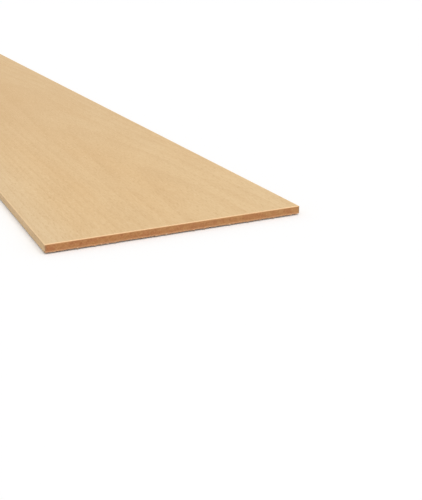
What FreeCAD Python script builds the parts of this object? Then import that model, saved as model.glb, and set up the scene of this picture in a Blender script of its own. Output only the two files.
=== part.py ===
"""One basswood sheet: a thin flat board, sanded on both faces and both long edges, sawn square at its ends.

The sheet lies flat. Its grain runs along Y, its width along X and its thickness along Z. The origin is at
the centre of the bottom face. All lengths are in millimetres.
"""

import FreeCAD
import Part
import Sketcher

import math
import os

# Driving dimensions: (name, value, note).
DIMENSIONS = [
    ("board_length", 609.6, "24 in, along the grain, from one sawn end to the other"),
    ("board_width", 101.6, "4 in, across the grain"),
    ("board_thickness", 3.175, "1/8 in, between the two sanded faces"),
    ("arris_radius", 0.15, "the long corners, only just broken by sanding"),
]

# Sketcher's numbers for the two ends of a line or arc, and for the sketch's own axes.
START, END = 1, 2
HORIZONTAL_AXIS, VERTICAL_AXIS = -1, -2


def add_dimensions(doc):
    """The spreadsheet that drives the model, with one named cell for each dimension."""
    cells = doc.addObject("Spreadsheet::Sheet", "dimensions")
    for row, (name, value, note) in enumerate(DIMENSIONS, start=1):
        cells.set(f"A{row}", name)
        cells.set(f"B{row}", str(value))
        cells.set(f"C{row}", note)
        cells.setAlias(f"B{row}", name)
    doc.recompute()
    return cells


def origin_plane(body, role):
    """One of the body's own origin planes, such as XZ_Plane."""
    return next(plane for plane in body.Origin.OriginFeatures if plane.Role == role)


def add_cross_section(body, cells):
    """The board's end profile: a rectangle standing on the X axis, centred on Z, its four corners rounded."""
    sketch = body.newObject("Sketcher::SketchObject", "cross_section")
    sketch.AttachmentSupport = (origin_plane(body, "XZ_Plane"), "")
    sketch.MapMode = "FlatFace"

    width, thickness, radius = cells.board_width, cells.board_thickness, cells.arris_radius
    inner_x = width / 2 - radius
    inner_low, inner_high = radius, thickness - radius
    # The corner arcs' centres, anticlockwise from the lower right, each with the angle its arc starts at.
    corners = [
        (inner_x, inner_low, -math.pi / 2),
        (inner_x, inner_high, 0),
        (-inner_x, inner_high, math.pi / 2),
        (-inner_x, inner_low, math.pi),
    ]
    normal = FreeCAD.Vector(0, 0, 1)
    arcs = []
    for x, y, start_angle in corners:
        circle = Part.Circle(FreeCAD.Vector(x, y, 0), normal, radius)
        arc = Part.ArcOfCircle(circle, start_angle, start_angle + math.pi / 2)
        arcs.append(sketch.addGeometry(arc, False))
    sides = []
    for corner, arc in enumerate(arcs):
        following = arcs[(corner + 1) % len(arcs)]
        side = Part.LineSegment(sketch.getPoint(arc, END), sketch.getPoint(following, START))
        sides.append(sketch.addGeometry(side, False))
    right, top, left, bottom = sides

    # The outline's form: each side runs smoothly into the arcs at its ends, and all arcs are alike.
    for corner, arc in enumerate(arcs):
        following = arcs[(corner + 1) % len(arcs)]
        sketch.addConstraint(Sketcher.Constraint("Tangent", arc, END, sides[corner], START))
        sketch.addConstraint(Sketcher.Constraint("Tangent", sides[corner], END, following, START))
    for arc in arcs[1:]:
        sketch.addConstraint(Sketcher.Constraint("Equal", arcs[0], arc))
    for side in (right, left):
        sketch.addConstraint(Sketcher.Constraint("Vertical", side))
    sketch.addConstraint(Sketcher.Constraint("Horizontal", top))
    sketch.addConstraint(Sketcher.Constraint("PointOnObject", bottom, START, HORIZONTAL_AXIS))
    sketch.addConstraint(Sketcher.Constraint("Symmetric", bottom, START, bottom, END, VERTICAL_AXIS))

    # Its sizes: each is bound to the cell of the same name.
    sizes = [
        ("board_width", Sketcher.Constraint("DistanceX", left, START, right, START, width)),
        ("board_thickness", Sketcher.Constraint("DistanceY", bottom, START, top, START, thickness)),
        ("arris_radius", Sketcher.Constraint("Radius", arcs[0], radius)),
    ]
    for name, constraint in sizes:
        index = sketch.addConstraint(constraint)
        sketch.renameConstraint(index, name)
        sketch.setExpression(f"Constraints.{name}", f"dimensions.{name}")
    return sketch


def add_basswood_sheet(doc, cells):
    """The whole board: its cross-section carried half its length to each side of the origin."""
    body = doc.addObject("PartDesign::Body", "basswood_sheet")
    body.Label = "basswood_sheet"
    section = add_cross_section(body, cells)
    board = body.newObject("PartDesign::Pad", "board")
    board.Profile = section
    board.SideType = "Symmetric"
    board.setExpression("Length", "dimensions.board_length")
    body.Placement = FreeCAD.Placement()
    return body


def check_document(doc, bodies):
    """Stops the build if any object failed to compute or any piece isn't one valid closed solid."""
    for item in doc.Objects:
        if "Invalid" in item.State or "Error" in item.State:
            raise RuntimeError(f"{item.Label} did not compute: {item.State}")
    for body in bodies:
        shape = body.Shape
        if shape.isNull() or not shape.isValid() or len(shape.Solids) != 1 or shape.Volume <= 0:
            raise RuntimeError(f"{body.Label} is not one valid solid")


def export_parts(bodies, folder="parts"):
    """Writes each piece to its own STEP file, named after its label."""
    os.makedirs(folder, exist_ok=True)
    for body in bodies:
        body.Shape.exportStep(os.path.join(folder, f"{body.Label}.step"))
        box = body.Shape.BoundBox
        print(f"{body.Label}: {body.Shape.Volume:.1f} mm3")
        print(f"  from ({box.XMin:.3f}, {box.YMin:.3f}, {box.ZMin:.3f}) mm")
        print(f"  to ({box.XMax:.3f}, {box.YMax:.3f}, {box.ZMax:.3f}) mm")


def main():
    doc = FreeCAD.newDocument("basswood_sheet_model")
    cells = add_dimensions(doc)
    bodies = [add_basswood_sheet(doc, cells)]
    doc.recompute()
    check_document(doc, bodies)
    export_parts(bodies)


main()
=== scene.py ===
"""The looks of one basswood sheet: sanded faces, sawn end grain, and fibres torn along its lower corners."""

import math
import random

import bpy
import numpy as np
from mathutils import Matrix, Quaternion, Vector, noise


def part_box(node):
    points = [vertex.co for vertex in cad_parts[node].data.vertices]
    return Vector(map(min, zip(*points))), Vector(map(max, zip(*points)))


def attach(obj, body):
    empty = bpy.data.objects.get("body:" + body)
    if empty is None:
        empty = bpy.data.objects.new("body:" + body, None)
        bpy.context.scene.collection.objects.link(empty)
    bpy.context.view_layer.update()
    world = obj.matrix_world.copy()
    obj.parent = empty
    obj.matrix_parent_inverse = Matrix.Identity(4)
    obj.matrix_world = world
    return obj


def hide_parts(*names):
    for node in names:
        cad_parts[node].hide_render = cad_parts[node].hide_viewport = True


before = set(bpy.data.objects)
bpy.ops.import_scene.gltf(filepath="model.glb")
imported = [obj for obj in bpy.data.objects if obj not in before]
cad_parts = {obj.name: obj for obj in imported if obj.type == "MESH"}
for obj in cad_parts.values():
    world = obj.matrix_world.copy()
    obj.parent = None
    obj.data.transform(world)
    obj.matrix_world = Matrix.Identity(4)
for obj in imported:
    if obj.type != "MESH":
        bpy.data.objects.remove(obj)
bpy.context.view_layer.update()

MM = 0.001
CAD_NODE = "basswood_sheet"
BODY = "root"
low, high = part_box(CAD_NODE)
HALF_WIDTH = (high.x - low.x) / 2
HALF_LENGTH = (high.y - low.y) / 2
THICKNESS = high.z - low.z

ARRIS = 0.15 * MM        # radius of every broken corner
TEAR_REACH = 1.0 * MM    # how far under the sheet the saw tore the fibres out
TEAR_HEIGHT = 0.22 * MM  # how high the torn lip hangs over the floor where the tearing is worst
TEAR_BLEND = 0.8 * MM    # how far up the sawn end the torn lip pushes the surface

# The board's map is a square of this many pixels. Each side of the board has a strip of it, from one row to
# another: X is 0, Y is 1 and Z is 2, and True is the side where that coordinate is larger.
MAP_SIDE = 1024
MAP_STRIPS = {
    (2, True): (1, 500),
    (2, False): (504, 888),
    (0, True): (892, 908),
    (0, False): (912, 928),
    (1, True): (932, 972),
    (1, False): (976, 1022),
}


# ---------------------------------------------------------------- the board's mesh

def broken_corner_lines(limit):
    """Grid lines across the broken corner that ends at limit, even in angle, from the flat outwards."""
    steps = 3
    return [limit - ARRIS + ARRIS * math.tan(math.radians(45 * step / steps)) for step in range(steps + 1)]


def lines_across():
    """X of each grid line: a fine even spacing, because it also carries the sawn ends' relief."""
    inner = HALF_WIDTH - ARRIS
    count = round(2 * inner / (0.25 * MM))
    even = [-inner + 2 * inner * step / count for step in range(1, count)]
    corner = broken_corner_lines(HALF_WIDTH)
    return [-line for line in reversed(corner)] + even + corner


def lines_along():
    """Y of each grid line: close together at the sawn ends, far apart between them."""
    corner = broken_corner_lines(HALF_LENGTH)
    near_end = [HALF_LENGTH - gap * MM for gap in (18, 9, 4.5, 2.4, 1.5, 1.05, 0.75, 0.5, 0.3)]
    even = [near_end[0] * step / 12 for step in range(1, 12)]
    half = even + near_end + corner
    return [-line for line in reversed(half)] + [0.0] + half


def lines_up():
    """Z of each grid line, from the bottom face to the top one."""
    inner = THICKNESS / 2 - ARRIS
    count = 14
    even = [-inner + 2 * inner * step / count for step in range(1, count)]
    corner = broken_corner_lines(THICKNESS / 2)
    centred = [-line for line in reversed(corner)] + even + corner
    return [line + THICKNESS / 2 for line in centred]


def rounded(points):
    """The points of a sharp box moved onto the same box with its corners broken."""
    middle = np.array([0, 0, THICKNESS / 2])
    inner = np.array([HALF_WIDTH, HALF_LENGTH, THICKNESS / 2]) - ARRIS
    core = np.clip(points - middle, -inner, inner)
    outward = points - middle - core
    outward /= np.linalg.norm(outward, axis=1, keepdims=True)
    return middle + core + outward * ARRIS


def saw_depth(x, z, end):
    """How deep the saw's marks and the open grain lie under the flat of a sawn end, in metres."""
    across = x / MM + 0.35 * z / MM + 0.02 * (z / MM) ** 2
    scores = noise.noise(Vector((across * 0.9, z / MM * 0.12, 7.0 * end)))
    pits = noise.noise(Vector((x / MM * 1.9, z / MM * 2.6, 11.0 * end)))
    coarse = noise.noise(Vector((x / MM * 0.3, z / MM * 0.5, 5.0 * end)))
    return (0.02 + 0.016 * scores + 0.012 * pits + 0.012 * coarse) * MM


def torn_share(x, end):
    """How badly the lower corner of a sawn end is torn at x, from 0 to 1."""
    long_chips = noise.noise(Vector((x / MM * 0.16, 2.7, 9.0 * end)))
    short_chips = noise.noise(Vector((x / MM * 1.1, 8.2, 4.0 * end)))
    nicks = noise.noise(Vector((x / MM * 3.4, 1.2, 6.0 * end)))
    return min(max(0.56 + 0.4 * long_chips + 0.5 * short_chips + 0.3 * nicks, 0.0), 1.0)


def smooth(value, start, stop):
    """0 at start, 1 at stop, with an even curve between."""
    share = min(max((value - start) / (stop - start), 0.0), 1.0)
    return share * share * (3 - 2 * share)


def end_relief(x, y, z):
    """Where a point near a sawn end goes: in from the end's flat, and up where the lower corner is torn."""
    end = 1 if y > 0 else -1
    from_end = HALF_LENGTH - abs(y)
    on_the_end = 1 - smooth(from_end, 0, 0.4 * MM)
    torn = torn_share(x, end)
    under = (1 - smooth(from_end, 0, TEAR_REACH * (0.3 + 0.7 * torn))) * (1 - smooth(z, 0, TEAR_BLEND))
    inwards = on_the_end * saw_depth(x, z, end) + 0.08 * MM * torn * under
    return x, y - end * inwards, z + TEAR_HEIGHT * torn * under


def spread(lines, start, stop, least):
    """The lines carried to pixels from start to stop.

    No cell is narrower than least, in pixels too, so the corners' narrow cells keep a share of the map.
    """
    widths = np.diff(lines)
    room = (stop - start) - least * len(widths)
    return start + np.concatenate([[0], np.cumsum(least + room * widths / widths.sum())])


def map_of_side(axis, last, xs, ys, zs):
    """Where each grid point of one side lies on the board's map, from 0 to 1.

    Each side is a strip as long as the map, and its longer direction runs along the strip.
    """
    bottom, top = MAP_STRIPS[(axis, last)]
    first_pixel, last_pixel = 1, MAP_SIDE - 1
    if axis == 2:
        across, along = spread(xs, bottom, top, 0.4), spread(ys, first_pixel, last_pixel, 2)
        across, along = np.meshgrid(across, along, indexing="ij")
    elif axis == 0:
        along, across = spread(ys, first_pixel, last_pixel, 2), spread(zs, bottom, top, 0.3)
        along, across = np.meshgrid(along, across, indexing="ij")
    else:
        along, across = spread(xs, first_pixel, last_pixel, 0.5), spread(zs, bottom, top, 0.6)
        along, across = np.meshgrid(along, across, indexing="ij")
    return np.stack([along, across], axis=-1) / MAP_SIDE


def box_surface(xs, ys, zs):
    """Vertices and outward quads of the surface of a box divided at the given lines, and the quads' map."""
    counts = (len(xs), len(ys), len(zs))
    grid = np.indices(counts)
    on_surface = np.zeros(counts, bool)
    for axis, count in enumerate(counts):
        on_surface |= (grid[axis] == 0) | (grid[axis] == count - 1)
    number = np.full(counts, -1)
    number[on_surface] = np.arange(on_surface.sum())
    i, j, k = (grid[axis][on_surface] for axis in range(3))
    points = np.stack([np.array(xs)[i], np.array(ys)[j], np.array(zs)[k]], axis=1)
    sides, maps = [], []
    for axis in range(3):
        for last in (False, True):
            side = np.take(number, -1 if last else 0, axis=axis)
            chart = map_of_side(axis, last, xs, ys, zs)
            quads = np.stack([side[:-1, :-1], side[1:, :-1], side[1:, 1:], side[:-1, 1:]], axis=-1)
            corners = np.stack([chart[:-1, :-1], chart[1:, :-1], chart[1:, 1:], chart[:-1, 1:]], axis=2)
            quads, corners = quads.reshape(-1, 4), corners.reshape(-1, 4, 2)
            outward = last if axis != 1 else not last
            sides.append(quads if outward else quads[:, ::-1])
            maps.append(corners if outward else corners[:, ::-1])
    return points, np.concatenate(sides), np.concatenate(maps)


def make_board():
    """The whole board as one closed mesh: flat faces, broken corners, sawn and torn ends."""
    points, quads, corners = box_surface(lines_across(), lines_along(), lines_up())
    points = rounded(points)
    near_an_end = np.abs(points[:, 1]) > HALF_LENGTH - 2 * TEAR_REACH
    points[near_an_end] = [end_relief(*point) for point in points[near_an_end]]
    mesh = bpy.data.meshes.new("board")
    mesh.from_pydata(points.tolist(), [], quads.tolist())
    mesh.uv_layers.new(name="OFBake").data.foreach_set("uv", corners.ravel())
    mesh.validate()
    mesh.shade_smooth()
    board = bpy.data.objects.new("board", mesh)
    bpy.context.scene.collection.objects.link(board)
    return board


# ---------------------------------------------------------------- torn fibres

def draw_tufts(count, end, draw):
    """Where tufts of slivers hang along a sawn end, and how many slivers each has.

    They are drawn at random, likelier where the corner is badly torn, and a little likelier at the right.
    """
    span = HALF_WIDTH - 1.0 * MM
    least_gap = 2.3 * MM
    likeliest = 0.4 * span
    tufts = []
    while len(tufts) < count:
        x = draw.triangular(-span, span, likeliest)
        clear = all(abs(x - place) > least_gap for place, slivers in tufts)
        if clear and draw.random() < torn_share(x, end):
            tufts.append((x, draw.randint(2, 6)))
    return tufts


def strand(root, heading, length, width, droop, draw):
    """Rings of a thin tapering sliver of wood that starts at root and bends as it goes, and its tip."""
    steps = 5
    thickness = width * draw.uniform(0.3, 0.8)
    centre, rings = Vector(root), []
    for step in range(steps):
        wobble = Vector((draw.gauss(0, 0.24), draw.gauss(0, 0.12), draw.gauss(0, 0.16) - droop))
        heading = (heading + wobble).normalized()
        side = heading.cross(Vector((0.2, 0, 1))).normalized()
        over = side.cross(heading)
        taper = (1 - (step / steps) ** 2) * draw.uniform(0.75, 1.0)
        centre.z = max(centre.z, width)
        half = [side * width * taper / 2, over * thickness * taper / 2]
        rings.append([centre + half[0], centre + half[1], centre - half[0], centre - half[1]])
        centre = centre + heading * length / steps
    centre.z = max(centre.z, width)
    return rings, centre


def add_strand(points, faces, rings, tip):
    """Joins a strand's rings into a closed tube: a cap at the root, sides, and a pointed tip."""
    start = len(points)
    sides = len(rings[0])
    for ring in rings:
        points.extend(ring)
    points.append(tip)
    faces.append([start + side for side in reversed(range(sides))])
    for row in range(len(rings) - 1):
        base = start + row * sides
        for side in range(sides):
            following = (side + 1) % sides
            faces.append([base + side, base + following, base + sides + following, base + sides + side])
    base = start + (len(rings) - 1) * sides
    for side in range(sides):
        faces.append([base + side, base + (side + 1) % sides, len(points) - 1])


def make_fibres(name, end, tuft_count, seed):
    """Fine fuzz all along the torn lower corner of a sawn end, and thicker tufts of it here and there."""
    draw = random.Random(seed)
    points, faces = [], []

    def grow(x, rise, length, width, outwards, droop):
        lip = TEAR_HEIGHT * torn_share(x, end)
        root_y = end * (HALF_LENGTH - draw.uniform(0.06, 0.2) * MM)
        root = Vector((x, root_y, lip + draw.uniform(0.02, rise) * MM))
        heading = Vector((draw.gauss(0, 0.45), end * outwards, draw.uniform(-1.1, -0.2))).normalized()
        add_strand(points, faces, *strand(root, heading, length, width, droop, draw))

    span = HALF_WIDTH - 0.4 * MM
    fuzz_tries = 2400
    for _ in range(fuzz_tries):
        x = draw.uniform(-span, span)
        if draw.random() < 0.25 + 0.75 * torn_share(x, end):
            grow(x, 0.22, draw.uniform(0.12, 0.36) * MM, draw.uniform(0.025, 0.055) * MM, 0.6, 0.1)
    strands_per_sliver = 5
    for middle, slivers in draw_tufts(tuft_count, end, draw):
        for _ in range(strands_per_sliver * slivers):
            x = min(max(middle + draw.gauss(0, 0.2) * MM, -span), span)
            grow(x, 0.4, draw.uniform(0.4, 0.95) * MM, draw.uniform(0.05, 0.12) * MM, 1.2, 0.12)
        x = min(max(middle + draw.gauss(0, 0.5) * MM, -span), span)
        grow(x, 0.3, draw.uniform(0.9, 1.5) * MM, draw.uniform(0.06, 0.12) * MM, 1.4, 0.05)

    mesh = bpy.data.meshes.new(name)
    mesh.from_pydata([tuple(point) for point in points], [], faces)
    mesh.validate()
    mesh.shade_smooth()
    fibres = bpy.data.objects.new(name, mesh)
    bpy.context.scene.collection.objects.link(fibres)
    return fibres


# ---------------------------------------------------------------- materials

def srgb(red, green, blue):
    """A colour given as the 0 to 255 values of a screen, as the linear values that Blender's nodes take."""
    def linear(value):
        share = value / 255
        return share / 12.92 if share <= 0.04045 else ((share + 0.055) / 1.055) ** 2.4
    return (linear(red), linear(green), linear(blue), 1.0)


class Nodes:
    """Short forms for the nodes of one material."""

    def __init__(self, material):
        self.tree = material.node_tree

    def add(self, kind, inputs=(), **settings):
        """A node of the kind, with its inputs set to numbers or linked to sockets."""
        node = self.tree.nodes.new(kind)
        for name, value in settings.items():
            setattr(node, name, value)
        for name, value in dict(inputs).items():
            if isinstance(value, bpy.types.NodeSocket):
                self.tree.links.new(value, node.inputs[name])
            else:
                node.inputs[name].default_value = value
        return node

    def math(self, operation, first, second=0.0, clamp=False):
        numbers = {0: first, 1: second}
        return self.add("ShaderNodeMath", numbers, operation=operation, use_clamp=clamp).outputs[0]

    def ramp(self, value, start, stop, low=0.0, high=1.0):
        """value carried smoothly from low at start to high at stop."""
        spread = {"Value": value, "From Min": start, "From Max": stop, "To Min": low, "To Max": high}
        return self.add("ShaderNodeMapRange", spread, interpolation_type="SMOOTHSTEP").outputs[0]

    def blend_of(self, data_type, kind, share, first, second):
        node = self.add("ShaderNodeMix", data_type=data_type)
        for name, value in (("Factor", share), ("A", first), ("B", second)):
            wanted = "VALUE" if name == "Factor" else kind
            socket = next(s for s in node.inputs if s.name == name and s.type == wanted)
            if isinstance(value, bpy.types.NodeSocket):
                self.tree.links.new(value, socket)
            else:
                socket.default_value = value
        return next(s for s in node.outputs if s.type == kind)

    def mix(self, share, first, second):
        """The two colours mixed, second in full where share is 1."""
        return self.blend_of("RGBA", "RGBA", share, first, second)

    def mix_numbers(self, share, first, second):
        """The two numbers mixed, second in full where share is 1."""
        return self.blend_of("FLOAT", "VALUE", share, first, second)

    def noise(self, place, scale, detail=3.0, roughness=0.55):
        """Noise from 0 to 1. scale is how many features there are in a millimetre along X, Y and Z."""
        stretched = self.add("ShaderNodeMapping", {"Vector": place, "Scale": scale}).outputs[0]
        settings = {"Vector": stretched, "Scale": 1.0, "Detail": detail, "Roughness": roughness}
        return self.add("ShaderNodeTexNoise", settings, noise_dimensions="3D").outputs[0]


def place_in_mm(nodes):
    """The point's place on the sheet in millimetres, and its X, Y and Z apart."""
    raw = nodes.add("ShaderNodeTexCoord").outputs["Object"]
    place = nodes.add("ShaderNodeVectorMath", {0: raw, 1: (1 / MM,) * 3}, operation="MULTIPLY").outputs[0]
    apart = nodes.add("ShaderNodeSeparateXYZ", {0: place})
    return place, apart.outputs


def growth(nodes, place, x, y, z):
    """How far a point is from the heart of the tree, and how far round it, in millimetres.

    The heart runs almost along the sheet, well below it, so the rings cross the sawn ends as slanting arcs
    and meet the faces as long faint lines that close into arches where the sheet is cut along them.
    """
    bend = nodes.noise(place, (0.016, 0.004, 0.03), detail=2.0)
    bend = nodes.math("MULTIPLY", nodes.math("SUBTRACT", bend, 0.5), 9.0)
    sideways = nodes.math("ADD", nodes.math("ADD", x, -14.0), nodes.math("MULTIPLY", y, 0.012))
    sideways = nodes.math("ADD", sideways, bend)
    above = nodes.math("ADD", nodes.math("ADD", z, 58.0), nodes.math("MULTIPLY", y, 0.016))
    above = nodes.math("ADD", above, nodes.math("MULTIPLY", bend, 0.4))
    flat = nodes.add("ShaderNodeCombineXYZ", {0: sideways, 1: above, 2: 0.0}).outputs[0]
    outward = nodes.add("ShaderNodeVectorMath", {0: flat}, operation="LENGTH").outputs["Value"]
    around = nodes.math("MULTIPLY", nodes.math("ARCTAN2", sideways, above), 60.0)
    return outward, around


def late_wood(nodes, outward):
    """1 along the thin dark line that ends each year's ring, 0 between the lines."""
    uneven = nodes.add("ShaderNodeCombineXYZ", {0: outward, 1: 0.0, 2: 0.0}).outputs[0]
    uneven = nodes.math("MULTIPLY", nodes.noise(uneven, (0.22, 1.0, 1.0), detail=1.0), 3.5)
    years = nodes.math("FRACT", nodes.math("DIVIDE", nodes.math("ADD", outward, uneven), 2.3))
    rise = nodes.ramp(years, 0.35, 0.92)
    return nodes.math("MULTIPLY", rise, nodes.ramp(years, 1.0, 0.93))


def long_grain(nodes, place, x, y, outward):
    """Colour and height of the sanded faces and long edges, where the grain is cut along its length."""
    drift = nodes.noise(place, (0.03, 0.006, 0.3), detail=2.0)
    clouds = nodes.noise(place, (0.12, 0.03, 0.4), detail=3.0)
    grain = nodes.noise(place, (1.7, 0.09, 1.7), detail=4.0, roughness=0.6)
    dashes = nodes.noise(place, (2.7, 0.42, 2.7), detail=3.0, roughness=0.6)
    hairs = nodes.noise(place, (7.0, 0.25, 7.0), detail=3.0, roughness=0.6)

    middle = nodes.ramp(nodes.math("ABSOLUTE", nodes.math("ADD", x, 8.0)), 38.0, 6.0)
    honey = nodes.math("MULTIPLY", middle, 0.5)
    honey = nodes.math("ADD", honey, nodes.ramp(drift, 0.35, 0.65, 0.0, 0.5), clamp=True)
    colour = nodes.mix(honey, srgb(230, 200, 155), srgb(224, 188, 139))
    # Painted shade: the faces turn darker towards the far end.
    colour = nodes.mix(nodes.ramp(y, -300.0, 20.0, 0.0, 0.45), colour, srgb(210, 176, 133))
    colour = nodes.mix(nodes.ramp(x, -32.0, -50.0, 0.0, 0.4), colour, srgb(225, 202, 166))
    colour = nodes.mix(nodes.ramp(clouds, 0.4, 0.65, 0.0, 0.22), colour, srgb(213, 178, 132))
    colour = nodes.mix(nodes.math("MULTIPLY", late_wood(nodes, outward), 0.16), colour, srgb(205, 165, 117))
    colour = nodes.mix(nodes.ramp(grain, 0.48, 0.8, 0.0, 0.18), colour, srgb(207, 171, 124))
    colour = nodes.mix(nodes.ramp(grain, 0.5, 0.25, 0.0, 0.2), colour, srgb(233, 205, 161))
    colour = nodes.mix(nodes.ramp(dashes, 0.54, 0.7, 0.0, 0.5), colour, srgb(199, 161, 113))
    colour = nodes.mix(nodes.ramp(dashes, 0.44, 0.3, 0.0, 0.45), colour, srgb(237, 210, 168))
    height = nodes.math("ADD", nodes.math("MULTIPLY", hairs, 0.6), nodes.math("MULTIPLY", dashes, 0.4))
    return colour, height


def end_grain(nodes, place, x, z, outward, around):
    """Colour and height of the sawn ends, where the fibres are cut across and drink in the light."""
    mottle = nodes.noise(place, (0.3, 0.3, 0.55), detail=3.0)
    speckle = nodes.noise(place, (3.0, 3.0, 3.0), detail=4.0, roughness=0.7)
    flecks = nodes.noise(place, (1.5, 1.5, 1.5), detail=2.0)
    fine = nodes.noise(place, (16.0, 16.0, 16.0), detail=2.0)
    pores = nodes.add("ShaderNodeTexVoronoi", {"Vector": place, "Scale": 8.0}, feature="F1")
    pores = pores.outputs["Distance"]
    polar = nodes.add("ShaderNodeCombineXYZ", {0: around, 1: outward, 2: 0.0}).outputs[0]
    rays = nodes.noise(polar, (5.0, 0.3, 1.0), detail=2.0)
    slanted = nodes.math("ADD", x, nodes.math("MULTIPLY", z, 0.35))
    slanted = nodes.add("ShaderNodeCombineXYZ", {0: slanted, 1: 0.0, 2: z}).outputs[0]
    scores = nodes.noise(slanted, (4.5, 1.0, 0.22), detail=4.0, roughness=0.65)

    colour = nodes.mix(nodes.ramp(x, -45.0, 35.0), srgb(181, 126, 79), srgb(184, 134, 86))
    redder = nodes.math("MULTIPLY", nodes.ramp(mottle, 0.42, 0.6), nodes.ramp(x, -50.0, 50.0, 0.75, 0.45))
    colour = nodes.mix(redder, colour, srgb(170, 107, 70))
    colour = nodes.mix(nodes.math("MULTIPLY", late_wood(nodes, outward), 0.3), colour, srgb(150, 96, 56))
    colour = nodes.mix(nodes.ramp(speckle, 0.5, 0.68, 0.0, 0.6), colour, srgb(216, 164, 114))
    colour = nodes.mix(nodes.ramp(flecks, 0.56, 0.68, 0.0, 0.45), colour, srgb(150, 98, 56))
    colour = nodes.mix(nodes.ramp(rays, 0.54, 0.68, 0.0, 0.35), colour, srgb(216, 166, 118))
    colour = nodes.mix(nodes.ramp(pores, 0.42, 0.2, 0.0, 0.55), colour, srgb(128, 78, 43))
    colour = nodes.mix(nodes.ramp(scores, 0.5, 0.68, 0.0, 0.3), colour, srgb(212, 158, 106))
    height = nodes.math("ADD", nodes.math("MULTIPLY", scores, 0.9), nodes.math("MULTIPLY", fine, 0.45))
    height = nodes.math("ADD", height, nodes.ramp(pores, 0.2, 0.42, 0.0, 0.35))
    return colour, height


def make_board_material():
    """Sanded basswood that turns into sawn end grain at both ends, with a painted highlight along its
    corners.
    """
    material = bpy.data.materials.new("basswood")
    material.use_nodes = True
    nodes = Nodes(material)
    shader = material.node_tree.nodes["Principled BSDF"]
    place, (x, y, z) = place_in_mm(nodes)
    outward, around = growth(nodes, place, x, y, z)
    face_colour, face_height = long_grain(nodes, place, x, y, outward)
    end_colour, end_height = end_grain(nodes, place, x, z, outward, around)

    ragged = nodes.noise(place, (1.6, 1.6, 1.6), detail=3.0)
    from_end = nodes.math("SUBTRACT", HALF_LENGTH / MM, nodes.math("ABSOLUTE", y))
    from_edge = nodes.math("SUBTRACT", HALF_WIDTH / MM, nodes.math("ABSOLUTE", x))
    from_top = nodes.math("SUBTRACT", THICKNESS / MM, z)
    past_corner = nodes.math("SUBTRACT", nodes.math("MINIMUM", from_top, from_edge), from_end)
    on_end = nodes.math("MULTIPLY", nodes.ramp(past_corner, 0.0, 0.1), nodes.ramp(from_end, 0.34, 0.2))
    on_edge = nodes.ramp(from_edge, 0.14, 0.03)

    # The long edges are a little darker than the faces, partly painted shade, and streaked, and the corners
    # are painted pale as a highlight along the arrises.
    colour = nodes.mix(nodes.math("MULTIPLY", on_edge, 0.5), face_colour, srgb(214, 180, 136))
    streaks = nodes.noise(place, (0.6, 0.035, 2.6), detail=4.0, roughness=0.6)
    dark_streaks = nodes.math("MULTIPLY", nodes.ramp(streaks, 0.5, 0.66, 0.0, 0.5), on_edge)
    pale_streaks = nodes.math("MULTIPLY", nodes.ramp(streaks, 0.48, 0.34, 0.0, 0.4), on_edge)
    colour = nodes.mix(dark_streaks, colour, srgb(188, 152, 108))
    colour = nodes.mix(pale_streaks, colour, srgb(232, 204, 164))
    # Painted highlight: the faces turn pale along the long corners and near the sawn ends.
    painted_arris_highlight = nodes.ramp(from_edge, 0.6, 0.12, 0.0, 0.65)
    painted_arris_highlight = nodes.math("MAXIMUM", nodes.ramp(from_end, 1.25, 0.3), painted_arris_highlight)
    painted_arris_highlight = nodes.math("MULTIPLY", painted_arris_highlight, nodes.ramp(ragged, 0.3, 0.6, 0.5, 1.0))
    painted_arris_highlight = nodes.math("MULTIPLY", painted_arris_highlight, nodes.math("SUBTRACT", 1.0, on_edge))
    colour = nodes.mix(painted_arris_highlight, colour, srgb(251, 213, 166))

    # Under the torn lower corner the wood is ripped out, and painted shade darkens it.
    under = nodes.math("MULTIPLY", nodes.ramp(from_end, 1.5, 0.9), nodes.ramp(z, 0.9, 0.6))
    colour = nodes.mix(nodes.math("MULTIPLY", under, 0.85), colour, srgb(140, 92, 54))
    colour = nodes.mix(on_end, colour, end_colour)

    # On the sawn ends the upright corners turn greyer, the torn lower corner shows fresh pale wood, and a
    # painted highlight runs along the top corner.
    greyer_upright_corners = nodes.math("MULTIPLY", nodes.ramp(from_edge, 0.9, 0.1), on_end)
    colour = nodes.mix(nodes.math("MULTIPLY", greyer_upright_corners, 0.6), colour, srgb(160, 132, 104))
    frayed = nodes.math("SUBTRACT", z, nodes.math("MULTIPLY", ragged, 0.6))
    fringe = nodes.math("MULTIPLY", nodes.ramp(frayed, 0.6, 0.15, 0.0, 0.5), on_end)
    colour = nodes.mix(fringe, colour, srgb(222, 170, 128))
    # Painted highlight: a pale band along the top of each sawn end.
    painted_end_top_highlight = nodes.math("MULTIPLY", nodes.ramp(from_top, 0.4, 0.1, 0.0, 0.65), on_end)
    colour = nodes.mix(painted_end_top_highlight, colour, srgb(234, 186, 136))

    height = nodes.mix_numbers(on_end, face_height, end_height)
    bump = nodes.add("ShaderNodeBump", {"Height": height, "Strength": 0.5, "Distance": 0.00008})
    roughness = nodes.ramp(face_height, 0.3, 0.7, 0.72, 0.82)
    roughness = nodes.math("ADD", roughness, nodes.math("MULTIPLY", on_end, 0.12))

    links = material.node_tree.links
    links.new(colour, shader.inputs["Base Color"])
    links.new(roughness, shader.inputs["Roughness"])
    links.new(bump.outputs[0], shader.inputs["Normal"])
    shader.inputs["Specular IOR Level"].default_value = 0.15
    return material


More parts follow.
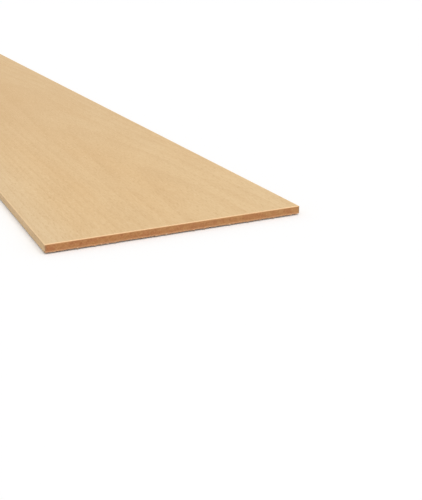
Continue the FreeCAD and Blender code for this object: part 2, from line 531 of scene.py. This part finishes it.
def make_fibre_material():
    """Pale loose wood fibre, a little darker at its root."""
    material = bpy.data.materials.new("wood_fibre")
    material.use_nodes = True
    nodes = Nodes(material)
    shader = material.node_tree.nodes["Principled BSDF"]
    place, (x, y, z) = place_in_mm(nodes)
    tone = nodes.noise(place, (2.0, 0.8, 2.0), detail=3.0)
    strands = nodes.noise(place, (14.0, 2.0, 14.0), detail=2.0)
    colour = nodes.mix(nodes.ramp(tone, 0.35, 0.65), srgb(234, 192, 150), srgb(252, 222, 184))
    beyond_end = nodes.math("SUBTRACT", nodes.math("ABSOLUTE", y), HALF_LENGTH / MM)
    colour = nodes.mix(nodes.ramp(beyond_end, -0.08, -0.25), colour, srgb(200, 150, 106))
    bump = nodes.add("ShaderNodeBump", {"Height": strands, "Strength": 0.3, "Distance": 0.00003})
    links = material.node_tree.links
    links.new(colour, shader.inputs["Base Color"])
    links.new(nodes.ramp(strands, 0.3, 0.7, 0.65, 0.8), shader.inputs["Roughness"])
    links.new(bump.outputs[0], shader.inputs["Normal"])
    shader.inputs["Specular IOR Level"].default_value = 0.3
    return material


# ---------------------------------------------------------------- the studio

def seen_directly(nodes):
    """1 where the camera, a reflection or a clear view through glass meets the background, else 0."""
    path = nodes.add("ShaderNodeLightPath").outputs
    seen = nodes.math("MAXIMUM", path["Is Camera Ray"], path["Is Glossy Ray"])
    return nodes.math("MAXIMUM", seen, path["Is Transmission Ray"])


def make_floor():
    """A wide white floor that keeps soft shadows, and looks white where nothing shades it.

    It is a hair below the sheet, because sawn wood never lies quite flat and a dark line shows under it.
    """
    reach = 8.0
    drop = 0.5 * MM
    corners = [(-reach, -reach, -drop), (reach, -reach, -drop), (reach, reach, -drop), (-reach, reach, -drop)]
    mesh = bpy.data.meshes.new("floor")
    mesh.from_pydata(corners, [], [(0, 1, 2, 3)])
    floor = bpy.data.objects.new("floor", mesh)
    bpy.context.scene.collection.objects.link(floor)
    material = bpy.data.materials.new("floor_white")
    material.use_nodes = True
    nodes = Nodes(material)
    tree = material.node_tree
    tree.nodes.remove(tree.nodes["Principled BSDF"])
    paper = nodes.add("ShaderNodeBsdfDiffuse", {"Color": (0.95, 0.95, 0.95, 1)})
    lift = nodes.add("ShaderNodeEmission", {"Strength": nodes.math("MULTIPLY", seen_directly(nodes), 0.055)})
    both = nodes.add("ShaderNodeAddShader", {0: paper.outputs[0], 1: lift.outputs[0]})
    tree.links.new(both.outputs[0], tree.nodes["Material Output"].inputs["Surface"])
    mesh.materials.append(material)


def make_world():
    """Even light from all round, with a white background behind it."""
    world = bpy.data.worlds.new("studio")
    world.use_nodes = True
    bpy.context.scene.world = world
    nodes = Nodes(world)
    level = nodes.ramp(seen_directly(nodes), 0.0, 1.0, 0.6, 1.0)
    background = world.node_tree.nodes["Background"]
    background.inputs["Color"].default_value = (1, 1, 1, 1)
    world.node_tree.links.new(level, background.inputs["Strength"])


def make_lamp():
    """One broad soft lamp, high in front of the sheet's near end and a little to the right."""
    elevation, azimuth = math.radians(60), math.radians(10)
    lamp_share = 0.4
    towards = Vector((math.sin(azimuth) * math.cos(elevation),
                      -math.cos(azimuth) * math.cos(elevation),
                      math.sin(elevation)))
    light = bpy.data.lights.new("soft_lamp", "SUN")
    light.energy = lamp_share * math.pi / math.sin(elevation)
    light.angle = math.radians(50)
    lamp = bpy.data.objects.new("soft_lamp", light)
    lamp.rotation_mode = "QUATERNION"
    lamp.rotation_quaternion = towards.to_track_quat("Z", "Y")
    bpy.context.scene.collection.objects.link(lamp)


def make_camera():
    """Low over the near end, looking along the sheet from its left."""
    azimuth, elevation, roll = math.radians(23.95), math.radians(19.48), math.radians(1.08)
    forward = Vector((math.sin(azimuth) * math.cos(elevation),
                      math.cos(azimuth) * math.cos(elevation),
                      -math.sin(elevation)))
    data = bpy.data.cameras.new("camera")
    data.sensor_width = 36.0
    data.lens = 62.9
    data.clip_start, data.clip_end = 0.01, 60.0
    camera = bpy.data.objects.new("camera", data)
    camera.rotation_mode = "QUATERNION"
    level = forward.to_track_quat("-Z", "Y")
    camera.rotation_quaternion = level @ Quaternion((0, 0, 1), -roll)
    near_left_corner = Vector((low.x, low.y, high.z))
    camera.location = near_left_corner + Vector((-63.6, -285.8, 98.5)) * MM
    bpy.context.scene.collection.objects.link(camera)
    bpy.context.scene.camera = camera


make_camera()
make_world()
make_lamp()
make_floor()

board = make_board()
board.data.materials.append(make_board_material())
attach(board, BODY)
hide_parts(CAD_NODE)

fibre_material = make_fibre_material()
# Each piece's name, the end it hangs from, the number of its tufts, and the seed of its random draws.
for name, end, tuft_count, seed in (("end_fibres_near", -1, 16, 11), ("end_fibres_far", 1, 8, 23)):
    fibres = make_fibres(name, end, tuft_count, seed)
    fibres.data.materials.append(fibre_material)
    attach(fibres, BODY)

bpy.context.scene.view_settings.view_transform = "Standard"
